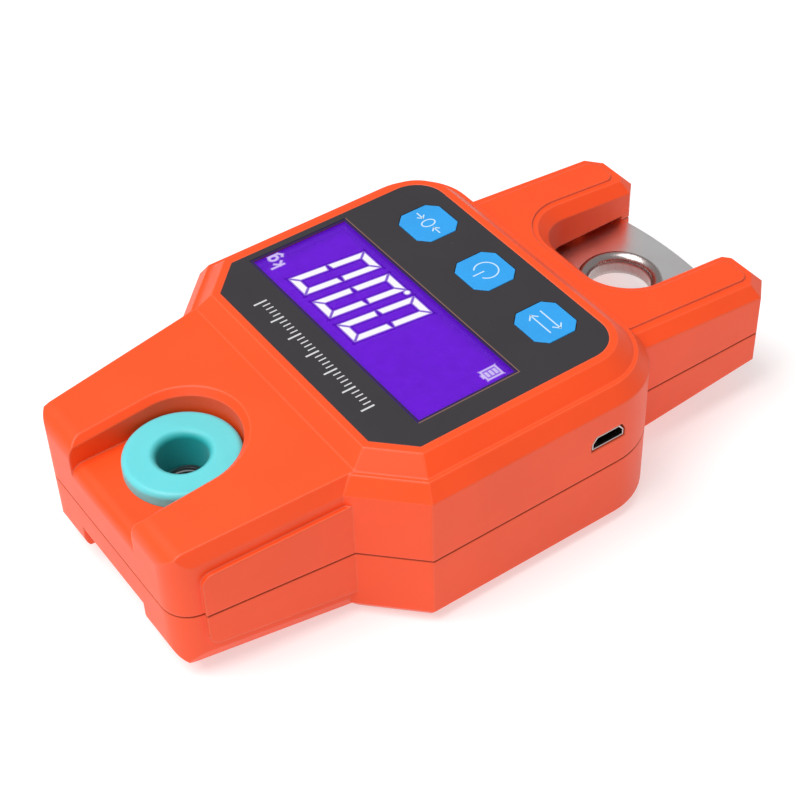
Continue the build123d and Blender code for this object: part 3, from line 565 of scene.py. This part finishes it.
# ---------------------------------------------------------------- printed marks and a band of painted shade, in millimetres
# a dark band round the window: painted shade over the opening's wall where it shows through the window's
# edges
rim_width = 0.55
rim_low = window_low / MM + Vector((1, 1, 0)) * rim_width / 2
rim_high = window_high / MM - Vector((1, 1, 0)) * rim_width / 2
rim_corners = [(rim_low.x, rim_low.y), (rim_high.x, rim_low.y),
               (rim_high.x, rim_high.y), (rim_low.x, rim_high.y)]
flat_piece("window_rim_painted_shade", ribbon(rim_corners, rim_width, closed=True), window_high.z + LAYER / 2,
           ink("rim_painted_shade", (0.020, 0.003, 0.075), 0.4), "casing")

print_height = overlay_top + FILM_PRINT
tick_pitch = 1.25
tick_count = 31
ticks_per_long = 5
long_tick, long_stroke = 3.0, 0.42
short_tick, short_stroke = 1.7, 0.3
tick_low = window_high.y / MM + 3.7
ticks = []
for i in range(tick_count):
    x = (i - (tick_count - 1) / 2) * tick_pitch
    length, width = (short_tick, short_stroke) if i % ticks_per_long else (long_tick, long_stroke)
    ticks += ribbon([(x, tick_low), (x, tick_low + length)], width)
flat_piece("graduation", ticks, print_height, ink("print_silver", (0.62, 0.62, 0.64), 0.4),
           "casing")

# a tan line drawn along only two sides of the window, the -X one and the -Y one
line_width = 0.26
line_offset = 0.12    # outside the window's edge
line_x = window_low.x / MM - line_offset
line_y = window_low.y / MM - line_offset
line_route = [(line_x, window_high.y / MM), (line_x, line_y), (window_high.x / MM, line_y)]
flat_piece("window_line", ribbon(line_route, line_width), print_height,
           ink("tan_window_line", (0.20, 0.11, 0.075)), "casing")

sign_stroke = 0.3


def arrow(tail, tip, y, head_length, head_half):
    """Arrow along x at a height y."""
    back = tip - math.copysign(head_length, tip - tail)
    return (ribbon([(tail, y), (tip, y)], sign_stroke)
            + ribbon([(back, y + head_half), (tip, y), (back, y - head_half)], sign_stroke))


tare_head = {"head_length": 0.9, "head_half": 0.9}
unit_head = {"head_length": 1.2, "head_half": 1.1}
tare_marks = (ribbon(loop((0, 0), 1.05, stretch=1.45), sign_stroke, closed=True)
              + arrow(-4.1, -1.9, 0, **tare_head) + arrow(4.1, 1.9, 0, **tare_head))
power_ring = arc((0, -0.3), radius=2.5, start=125, end=415, steps=30)
power_marks = ribbon(power_ring, sign_stroke) + ribbon([(0, 0.2), (0, 3.0)], sign_stroke)
unit_key_marks = arrow(-3.2, 3.2, 1.2, **unit_head) + arrow(3.2, -3.2, -1.2, **unit_head)
white = ink("print_white", (0.55, 0.74, 0.92))
for key, marks in {"tare": tare_marks, "power": power_marks, "unit": unit_key_marks}.items():
    top = key_tops[key]
    flat_piece(f"{key}_sign", shifted(marks, (top.x / MM, top.y / MM)), top.z + KEY_PRINT,
               white, f"{key}_button")


# ---------------------------------------------------------------- floor, light and camera
def floor():
    """Pale studio floor, larger than any view and just clear of the casing's back."""
    half_width = 3000.0    # millimetres
    clearance = 0.05 * MM
    s = Shader("floor_pale")
    tone = s.colours(s.noise(3.0, 3.0), (0.58, 0.58, 0.58), (0.60, 0.60, 0.60))
    s.principled(Base_Color=tone, Roughness=s.about(s.noise(60.0), 0.80, 0.05), Specular_IOR_Level=0.1,
                 Emission_Color=(1, 1, 1, 1), Emission_Strength=0.5)
    corners = [(-half_width, -half_width), (half_width, -half_width),
               (half_width, half_width), (-half_width, half_width)]
    flat_object("floor", [corners], cad_box[0][2] - clearance, s.material)


def softbox(name, place, target, size, power):
    """Square area light turned towards a point."""
    data = bpy.data.lights.new(name, "AREA")
    data.shape = "SQUARE"
    data.size = size
    data.energy = power
    light = bpy.data.objects.new(name, data)
    light.location = place
    light.rotation_euler = (Vector(target) - Vector(place)).to_track_quat("-Z", "Y").to_euler()
    bpy.context.scene.collection.objects.link(light)


def surroundings(colour, strength):
    """Even light from all around."""
    world = bpy.data.worlds.new("studio")
    world.use_nodes = True
    background = world.node_tree.nodes["Background"]
    background.inputs["Color"].default_value = (*colour, 1)
    background.inputs["Strength"].default_value = strength
    bpy.context.scene.world = world


def camera(target, azimuth, elevation, roll, distance, lens):
    """Camera looking at a point from an azimuth and elevation in degrees, with a small roll."""
    data = bpy.data.cameras.new("camera")
    data.sensor_width = 36.0
    data.lens = lens
    data.clip_start = 0.01
    a = math.radians(azimuth)
    e = math.radians(elevation)
    back = Vector((math.sin(a) * math.cos(e), -math.cos(a) * math.cos(e), math.sin(e)))
    right = Vector((math.cos(a), math.sin(a), 0.0))
    turn = Matrix.Rotation(math.radians(roll), 3, back)
    axes = Matrix((turn @ right, turn @ back.cross(right), back)).transposed()
    made = bpy.data.objects.new("camera", data)
    made.matrix_world = Matrix.Translation(Vector(target) + back * distance) @ axes.to_4x4()
    bpy.context.scene.collection.objects.link(made)
    bpy.context.scene.camera = made


floor()
surroundings((1.0, 1.0, 1.0), strength=0.40)
softbox("top_light", (0.05, 0.45, 1.05), target=(0.0, 0.0, cover_high.z / 2), size=0.8, power=13.0)
camera((-0.0032, 0.0059, 0.0196), azimuth=236.27, elevation=43.375, roll=-2.07, distance=0.3762, lens=84.17)
bpy.context.scene.view_settings.view_transform = "Standard"
